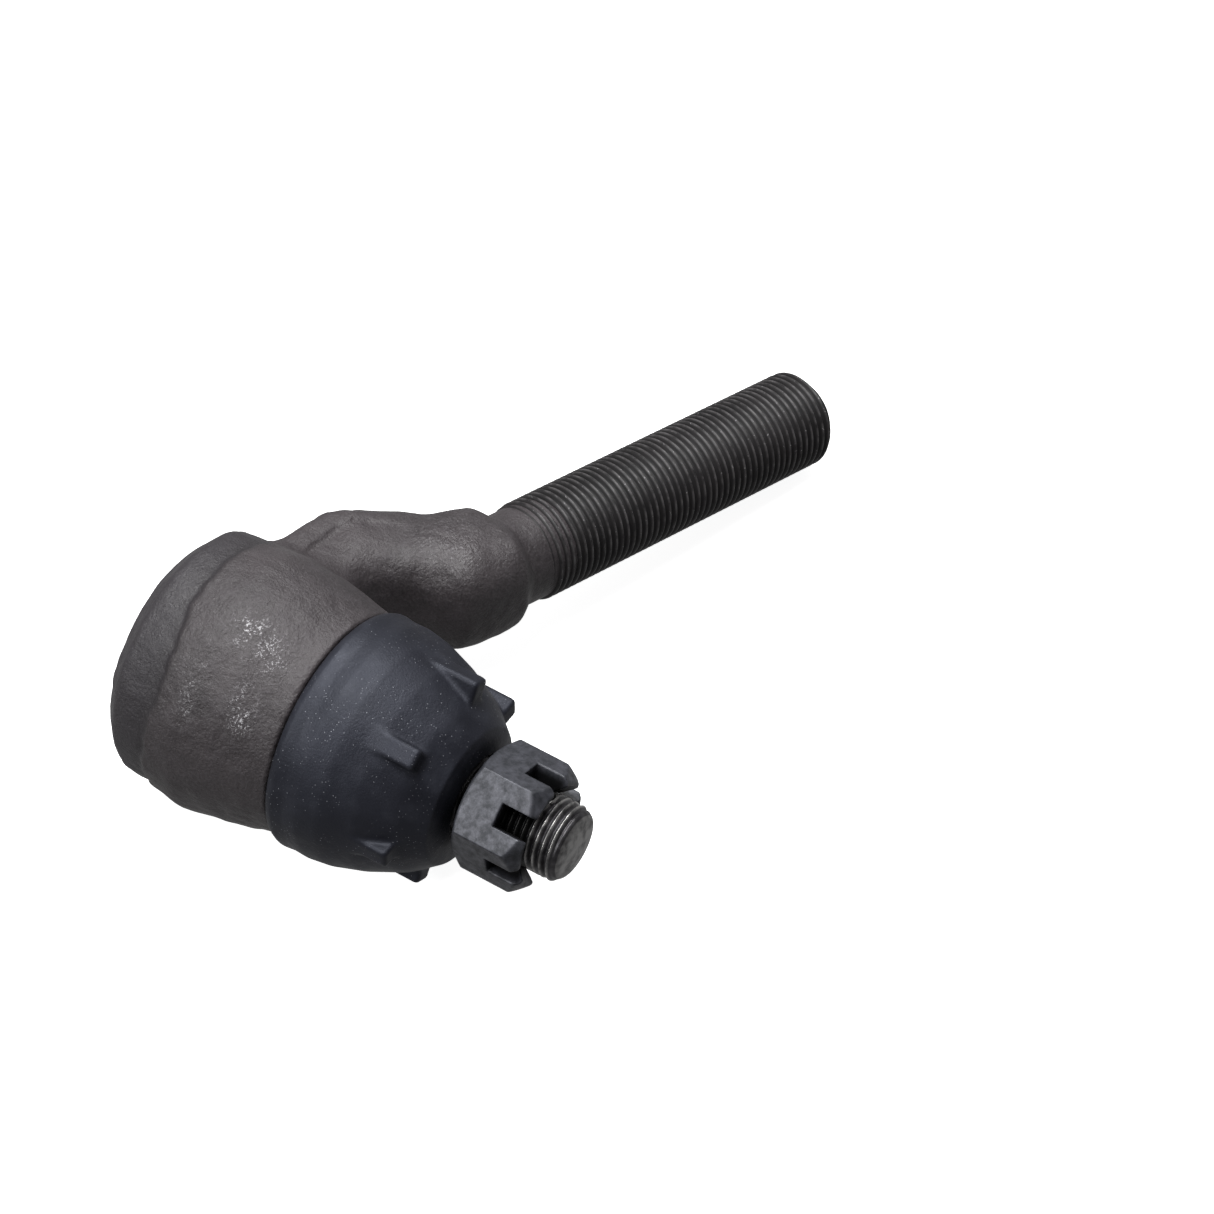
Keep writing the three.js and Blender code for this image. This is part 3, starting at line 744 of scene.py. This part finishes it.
def tidy_mesh(piece, distance=0.004):
    """Joins points that lie together and turns every face outwards."""
    mesh = bmesh.new()
    mesh.from_mesh(piece.data)
    bmesh.ops.remove_doubles(mesh, verts=mesh.verts, dist=distance * MM)
    loose = [v for v in mesh.verts if not v.link_faces]
    bmesh.ops.delete(mesh, geom=loose, context="VERTS")
    bmesh.ops.recalc_face_normals(mesh, faces=mesh.faces)
    mesh.to_mesh(piece.data)
    mesh.free()


SHANK_RADIUS = 11 / 16 * INCH / 2
SHANK_PITCH = INCH / 18
SHANK_END = 125.2

shank = threaded_rod(
    "shank_thread", SHANK, SHANK_RADIUS, SHANK_PITCH, THREAD_START - 1.0, SHANK_END,
    core=NECK_RADIUS, chamfer=2.1, runout=1.6, hand=-1, material=SHANK_PAINT,
)
tidy_mesh(shank)
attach(shank, "housing")

# ---- Ball stud ----------------------------------------------------------------------------

NUT_FLATS = 0.75 * INCH
NUT_BASE_Y = 42.6
NUT_TOP_Y = 54.9
NUT_BORE = 5.95
NUT_SLOT = 3.9
NUT_SLOT_FLOOR = 49.2
NUT_FACE = 8.9                        # radius of the flat faces at both ends
NUT_COUNTERSINK = 8.3

STUD_RADIUS = INCH / 4
STUD_PITCH = INCH / 20
STUD_END = 59.9
STUD_DOME = 0.45
STUD_CHAMFER = 1.5
STUD_COLLAR = 5.8                     # radius past the last thread
STUD_COLLAR_Y = 58.6
STUD_CORE = 5.7                       # in the groove that ends the thread
TAPER_SMALL = 6.56
TAPER_END = 40.2
NUT_TURN = math.radians(20.6)
COTTER_Y = 52.4
COTTER_RADIUS = 1.8
COTTER_TURN = NUT_TURN - math.pi / 6   # the hole lies along a pair of the nut's slots

stud_body_field = turned([
    (0, -6.3, 0),
    (2.3, -6.3, 0.6),
    (5.4, -4.7, 2.0),
    (8.0, -1.2, 2.0),
    (8.5, 0.5, 0.1),
    (9.6, 0.5, 0.3),
    (9.6, 2.0, 0.3),
    (6.4, 2.0, 0.2),
    (6.4, 22.0, 3.0),
    (7.57, 24.0, 1.5),
    (TAPER_SMALL, TAPER_END, 0.2),
    (STUD_CORE, TAPER_END + 0.6, 0.3),
    (STUD_CORE, TAPER_END + 3.0, 0),
    (0, TAPER_END + 3.0, 0),
])


def thread_level(x, y, z):
    """How far up a thread's flank a point is, from 0 at the root to 1 at the crest."""
    phase = (y / STUD_PITCH - np.arctan2(x, z) / (2 * math.pi)) % 1.0
    return np.clip(np.abs(phase - 0.5) * 2 * 1.2 - 0.08, 0, 1)


def stud_thread_field(x, y, z):
    """The threaded end, its smooth collar and its cotter hole with a raised burr."""
    radius = np.sqrt(x * x + z * z)
    fade = soft_step(y, TAPER_END + 1.0, TAPER_END + 2.8)
    tall = STUD_RADIUS - THREAD_DEPTH * STUD_PITCH * (1 - thread_level(x, y, z))
    tall = STUD_CORE + (tall - STUD_CORE) * fade
    tall = tall + (STUD_COLLAR - tall) * soft_step(y, STUD_COLLAR_Y - 0.3, STUD_COLLAR_Y + 0.3)
    bar = radius - tall
    end = STUD_END - STUD_DOME * (radius / STUD_RADIUS) ** 2
    bar = common(bar, y - end, 0.35)
    bar = common(bar, (radius - STUD_RADIUS + y - (STUD_END - STUD_CHAMFER)) * 0.75, 0.3)
    bar = np.maximum(bar, TAPER_END - y)
    across = x * math.cos(COTTER_TURN) - z * math.sin(COTTER_TURN)
    hole = COTTER_RADIUS - np.sqrt(across ** 2 + (y - COTTER_Y) ** 2)
    burr = np.maximum(np.abs(hole + 0.15) - 0.28, radius - STUD_RADIUS - 0.1)
    return np.maximum(np.minimum(bar, np.maximum(burr, bar - 0.5)), hole)


stud_body = field_piece(
    "ball_stud_body", stud_body_field, (-11, -8, -11), (11, 45, 11), 0.4, STUD_PAINT,
)
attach(stud_body, "stud")
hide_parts("ball_stud")

stud_thread = field_piece(
    "ball_stud_thread", stud_thread_field, (-7.4, 39.5, -7.4), (7.4, 61.2, 7.4), 0.16, STUD_PAINT,
)
thread_points = socket_points(stud_thread)
thread_radius = np.hypot(thread_points[:, 0], thread_points[:, 2])
crest_level = (thread_radius - STUD_RADIUS) / (THREAD_DEPTH * STUD_PITCH) + 1
# painted light: the end face is painted lighter, as if lit
end_face_painted_light = 0.74 * soft_step(thread_points[:, 1], STUD_END - 0.9, STUD_END - 0.5)
write_attribute(stud_thread, "crest", np.maximum(crest_level, end_face_painted_light))
# the deep mark: painted shade on the thread below the nut's top
write_attribute(stud_thread, "deep", 0.93 * soft_step(NUT_TOP_Y - thread_points[:, 1], -0.4, 2.0))
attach(stud_thread, "stud")

# ---- Slotted nut --------------------------------------------------------------------------


def nut_across(x, y, z):
    """How far a point is from the axis square to its nearest flat, and along that flat."""
    radius = np.sqrt(x * x + z * z)
    angle = np.arctan2(x, z) - NUT_TURN
    sector = (angle + math.pi) % (math.pi / 3) - math.pi / 6
    return radius * np.cos(sector), radius * np.sin(sector)


def nut_field(x, y, z):
    """A hexagon with turned chamfers, less a threaded bore and a slot in each flat."""
    radius = np.sqrt(x * x + z * z)
    across, beside = nut_across(x, y, z)
    middle, tall = (NUT_BASE_Y + NUT_TOP_Y) / 2, NUT_TOP_Y - NUT_BASE_Y
    body = common(across - NUT_FLATS / 2, np.abs(y - middle) - tall / 2, 0.25)
    base_cone = (radius - NUT_FACE) * 0.5 - (y - NUT_BASE_Y) * 0.866
    top_cone = (radius - NUT_FACE + y - NUT_TOP_Y) * 0.707
    body = common(common(body, base_cone, 0.2), top_cone, 0.25)
    bore = NUT_BORE + 0.5 * thread_level(x, y, z)
    sink = (NUT_COUNTERSINK - NUT_TOP_Y) + y
    mouth = NUT_BORE + 1.2 - (y - NUT_BASE_Y)
    body = np.maximum(body, np.maximum(bore - radius, np.maximum(sink, mouth) - radius))
    slot = np.maximum(np.abs(beside) - NUT_SLOT / 2, NUT_SLOT_FLOOR - y)
    return common(body, -slot, 0.15)


nut = field_piece(
    "castle_nut_body", nut_field, (-12, 41, -12), (12, 58, 12), 0.22, NUT_PAINT,
)
nut_points = socket_points(nut)
sunk = NUT_FLATS / 2 - nut_across(*nut_points.T)[0]
from_end = NUT_TOP_Y - nut_points[:, 1]
# the deep mark: painted shade on the nut's sunk surfaces
write_attribute(nut, "deep", soft_step(sunk, 0.3, 1.6) * soft_step(from_end, 0.2, 1.2) * 0.9)
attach(nut, "nut")
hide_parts("castle_nut")

# ---- Rubber boot --------------------------------------------------------------------------

BOOT_LUGS = 6
BOOT_SHIFT = (-0.45, 0.35)            # the soft boot sags a little off the stud's axis
LUG_TURN = math.radians(42.5)
LUG_HALF_WIDTH = 1.75
LUG_RADIUS = 18.2
LUG_START_Y = 27.8
LUG_END_Y = 36.7
SKIRT_Y = 15.6

boot_shell_field = turned([
    (17.6, SKIRT_Y, 0.2),
    (19.9, SKIRT_Y, 0.7),
    (20.4, 16.8, 1.2),
    (20.15, 19.0, 2.0),
    (20.25, 21.4, 3.0),
    (19.7, 25.0, 6.0),
    (18.0, 30.2, 8.0),
    (15.2, 36.2, 8.0),
    (11.9, 40.3, 0.5),
    (10.2, 40.8, 0.5),
    (7.0, 41.3, 0.4),
    (7.0, 39.4, 0.4),
    (11.0, 38.0, 2.0),
    (13.2, 35.0, 3.0),
    (16.4, 28.5, 6.0),
    (17.9, 21.0, 2.0),
    (17.6, 18.9, 0.3),
])


def boot_field(x, y, z):
    """The bell-shaped shell and its six moulded lugs."""
    loose = soft_step(np.sqrt(x * x + z * z), 8.0, 11.5)
    shell = boot_shell_field(x - BOOT_SHIFT[0] * loose, y, z - BOOT_SHIFT[1] * loose)
    angle = np.arctan2(x, z) - LUG_TURN
    radius = np.sqrt(x * x + z * z)
    lap = 2 * math.pi / BOOT_LUGS
    sector = (angle + lap / 2 + 2 * math.pi) % lap - lap / 2
    beside = np.abs(radius * np.sin(sector)) - LUG_HALF_WIDTH
    outward = radius * np.cos(sector)
    along = np.abs(y - (LUG_START_Y + LUG_END_Y) / 2) - (LUG_END_Y - LUG_START_Y) / 2
    depth = np.maximum(outward - LUG_RADIUS, 14.5 - outward)
    lug = common(common(beside, along, 0.7), depth, 0.8)
    return join(shell, lug, 0.8)


boot = field_piece(
    "dust_boot_shell", boot_field, (-23, 14, -23), (23, 43, 23), 0.32, RUBBER,
)
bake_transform(boot)
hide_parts("dust_boot")

# ---- Cover plate and grease fitting -------------------------------------------------------

cover_field = turned([
    (3.5, -15.2, 0.3),
    (9.5, -15.2, 2.0),
    (14.5, -14.7, 1.0),
    (17.0, -14.7, 0.3),
    (17.0, -12.7, 0.3),
    (14.5, -12.7, 1.0),
    (9.5, -13.2, 2.0),
    (3.5, -13.2, 0.3),
])
cover = field_piece("cover_plate_disc", cover_field, (-18, -16, -18), (18, -12, 18), 0.35, COVER)
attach(cover, "housing")
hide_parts("cover_plate")

FITTING_HEX = 5 / 16 * INCH
fitting_stem_field = turned([
    (0.9, -21.0, 0.2),
    (1.6, -21.0, 0.2),
    (2.9, -20.0, 0.4),
    (2.9, -19.5, 0.3),
    (2.1, -18.6, 0.4),
    (2.1, -17.6, 0.4),
    (3.17, -17.2, 0.2),
    (3.17, -12.1, 0.2),
    (2.6, -11.6, 0.2),
    (1.6, -11.6, 0.1),
    (1.6, -19.6, 0.2),
    (0.9, -20.2, 0.1),
])


def fitting_field(x, y, z):
    radius = np.sqrt(x * x + z * z)
    sector = (np.arctan2(x, z) + math.pi) % (math.pi / 3) - math.pi / 6
    hexagon = np.maximum(radius * np.cos(sector) - FITTING_HEX / 2, np.abs(y + 16.4) - 1.1)
    hexagon = np.maximum(hexagon, (radius - FITTING_HEX / 2 - 0.35) * 0.8)
    hexagon = np.maximum(hexagon, 1.7 - radius)
    return join(fitting_stem_field(x, y, z), hexagon, 0.2)


fitting = field_piece(
    "grease_fitting_body", fitting_field, (-5.2, -22, -5.2), (5.2, -11, 5.2), 0.14, PLATED,
)
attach(fitting, "housing")
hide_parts("grease_fitting")

# ---- Springs ------------------------------------------------------------------------------

WIRE_SIDES = 10
COIL_STEPS = 40                       # points on each turn


def coil(name, wire, bottom, top, bottom_radius, top_radius, turns):
    """A coil spring about the stud's axis, of round wire with closed ends."""
    count = int(turns * COIL_STEPS) + 1
    share = np.linspace(0, 1, count)
    angle = 2 * math.pi * turns * share
    radius = bottom_radius + (top_radius - bottom_radius) * share
    y = bottom + (top - bottom) * share
    round_wire = np.arange(WIRE_SIDES) * 2 * math.pi / WIRE_SIDES
    away = radius[:, None] + wire / 2 * np.cos(round_wire)
    height = y[:, None] + wire / 2 * np.sin(round_wire)
    points = np.stack([away * np.cos(angle)[:, None], height, away * np.sin(angle)[:, None]], 2)
    faces = []
    for i in range(count - 1):
        for j in range(WIRE_SIDES):
            k = (j + 1) % WIRE_SIDES
            near, far = i * WIRE_SIDES, (i + 1) * WIRE_SIDES
            faces.append((near + j, near + k, far + k, far + j))
    faces.append(range(WIRE_SIDES - 1, -1, -1))
    faces.append(range((count - 1) * WIRE_SIDES, count * WIRE_SIDES))
    piece = mesh_piece(name, points.reshape(-1, 3), faces, GROUND)
    tidy_mesh(piece)
    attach(piece, "housing")
    return piece


CUP_SPRING = dict(wire=1.3, bottom=-11.45, top=-9.35, bottom_radius=11.5, top_radius=5.2,
                  turns=2.25)
CHECK_SPRING = dict(wire=0.35, bottom=-17.0, top=-12.1, bottom_radius=1.05, top_radius=1.05,
                    turns=4)

cup_spring = coil("preload_spring_coil", **CUP_SPRING)
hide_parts("preload_spring")
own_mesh(cup_spring)
check_spring = coil("fitting_check_spring_coil", **CHECK_SPRING)
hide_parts("fitting_check_spring")
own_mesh(check_spring)

# ---- CAD pieces that keep their shape -----------------------------------------------------

for node in ("bearing_seat", "ball_bearing", "pressure_cup", "fitting_check_ball"):
    kept = frame["nodes"][node]
    kept.data.materials.clear()
    kept.data.materials.append(GROUND)

# ---- Floor, light and camera --------------------------------------------------------------

FLOOR_SIZE = 6.0


def floor_finish():
    paint = Paint("pale_floor", roughness=0.7, specular=0.1)
    cloud = paint.noise(400, detail=1)
    paint.shader.inputs["Emission Color"].default_value = (1, 1, 1, 1)
    paint.shader.inputs["Emission Strength"].default_value = 0.92
    return paint.finish(paint.mix(cloud, (0.80, 0.80, 0.80), (0.84, 0.84, 0.84)))


floor_mesh = bpy.data.meshes.new("floor")
edge = FLOOR_SIZE / 2
floor_mesh.from_pydata([(-edge, -edge, 0), (edge, -edge, 0), (edge, edge, 0), (-edge, edge, 0)],
                       [], [(0, 1, 2, 3)])
floor_mesh.materials.append(floor_finish())
stage_floor = bpy.data.objects.new("floor", floor_mesh)
bpy.context.scene.collection.objects.link(stage_floor)
stage_floor.visible_diffuse = False
stage_floor.visible_glossy = False

CAMERA_AZIMUTH = math.radians(-42.72)
CAMERA_ELEVATION = math.radians(40.43)
CAMERA_ROLL = math.radians(-1.73)
CAMERA_DISTANCE = 0.58975
CAMERA_TARGET = place(34.73, 41.28, -16.0)
LENS = 110.13

level = math.cos(CAMERA_ELEVATION)
look = Vector((-math.sin(CAMERA_AZIMUTH) * level, math.cos(CAMERA_AZIMUTH) * level,
               -math.sin(CAMERA_ELEVATION)))

GRADE_REACH = 0.8                     # how far either side of the part the studio's light grades
WORLD_NEAR = 0.04                     # how bright the studio is behind the camera
WORLD_FAR = 0.52                      # and beyond the part
HORIZON_SHARE = 0.35                  # how much of that is left near the horizon,
HAZE_LOW = 0.34                       # up to this height, as a sine,
HAZE_HIGH = 0.60                      # and from this height it is at its full strength
HORIZON = (-0.12, 0.04)               # where the floor gives way to the studio, as sines
FLOOR_GLOW = 0.20                     # what the floor sends back everywhere
FLOOR_SHARE = 0.45                    # and the share of the studio's light it adds

world = bpy.data.worlds.new("studio")
world.use_nodes = True
tree = world.node_tree
directions = tree.nodes.new("ShaderNodeTexCoord")
facing_far = tree.nodes.new("ShaderNodeVectorMath")
facing_far.operation = "DOT_PRODUCT"
facing_far.inputs[1].default_value = Vector((look.x, look.y, 0)).normalized()
graded = tree.nodes.new("ShaderNodeMapRange")
graded.inputs["From Min"].default_value = -GRADE_REACH
graded.inputs["From Max"].default_value = GRADE_REACH
graded.inputs["To Min"].default_value = WORLD_NEAR
graded.inputs["To Max"].default_value = WORLD_FAR
tree.links.new(directions.outputs["Generated"], facing_far.inputs[0])
tree.links.new(facing_far.outputs["Value"], graded.inputs["Value"])
heights = tree.nodes.new("ShaderNodeSeparateXYZ")
below = tree.nodes.new("ShaderNodeMath")
below.operation = "MULTIPLY_ADD"
below.inputs[1].default_value = FLOOR_SHARE
below.inputs[2].default_value = FLOOR_GLOW
shaded = tree.nodes.new("ShaderNodeMapRange")
shaded.inputs["From Min"].default_value = HORIZON[0]
shaded.inputs["From Max"].default_value = HORIZON[1]
tree.links.new(directions.outputs["Generated"], heights.inputs[0])
tree.links.new(heights.outputs["Z"], shaded.inputs["Value"])
tree.links.new(graded.outputs["Result"], below.inputs[0])
tree.links.new(below.outputs[0], shaded.inputs["To Min"])
rising = tree.nodes.new("ShaderNodeMapRange")
rising.inputs["From Min"].default_value = HAZE_LOW
rising.inputs["From Max"].default_value = HAZE_HIGH
tree.links.new(heights.outputs["Z"], rising.inputs["Value"])
tree.links.new(graded.outputs["Result"], rising.inputs["To Max"])
dimmed = tree.nodes.new("ShaderNodeMath")
dimmed.operation = "MULTIPLY"
dimmed.inputs[1].default_value = HORIZON_SHARE
tree.links.new(graded.outputs["Result"], dimmed.inputs[0])
tree.links.new(dimmed.outputs[0], rising.inputs["To Min"])
tree.links.new(rising.outputs["Result"], shaded.inputs["To Max"])
tree.links.new(shaded.outputs["Result"], tree.nodes["Background"].inputs["Strength"])
tree.nodes["Background"].inputs["Color"].default_value = (1, 1, 1, 1)
bpy.context.scene.world = world


LIGHT_AIM = Vector((-0.02, 0, 0.02))


def softbox(name, azimuth, elevation, distance, size, power):
    """A square area light that faces the part. Azimuth 0 is behind a viewer who looks along +Y."""
    light = bpy.data.lights.new(name, "AREA")
    light.size = size
    light.energy = power
    box = bpy.data.objects.new(name, light)
    turn, rise = math.radians(azimuth), math.radians(elevation)
    flat = math.cos(rise)
    outward = Vector((math.sin(turn) * flat, -math.cos(turn) * flat, math.sin(rise)))
    box.location = LIGHT_AIM + outward * distance
    box.rotation_euler = outward.to_track_quat("Z", "Y").to_euler()
    bpy.context.scene.collection.objects.link(box)


softbox("top_softbox", azimuth=-75, elevation=76, distance=0.9, size=0.45, power=6.5)
softbox("left_softbox", azimuth=-97, elevation=33, distance=1.0, size=0.40, power=3.9)
softbox("far_softbox", azimuth=113, elevation=70, distance=0.9, size=0.28, power=4.2)

camera_data = bpy.data.cameras.new("camera")
camera_data.lens = LENS
camera_data.sensor_width = 36.0
camera_data.clip_start = 0.01
camera = bpy.data.objects.new("camera", camera_data)
facing = look.to_track_quat("-Z", "Y").to_matrix().to_4x4()
camera.matrix_world = (Matrix.Translation(CAMERA_TARGET - look * CAMERA_DISTANCE) @ facing
                       @ Matrix.Rotation(CAMERA_ROLL, 4, "Z"))
bpy.context.scene.collection.objects.link(camera)
bpy.context.scene.camera = camera
bpy.context.scene.view_settings.view_transform = "Standard"
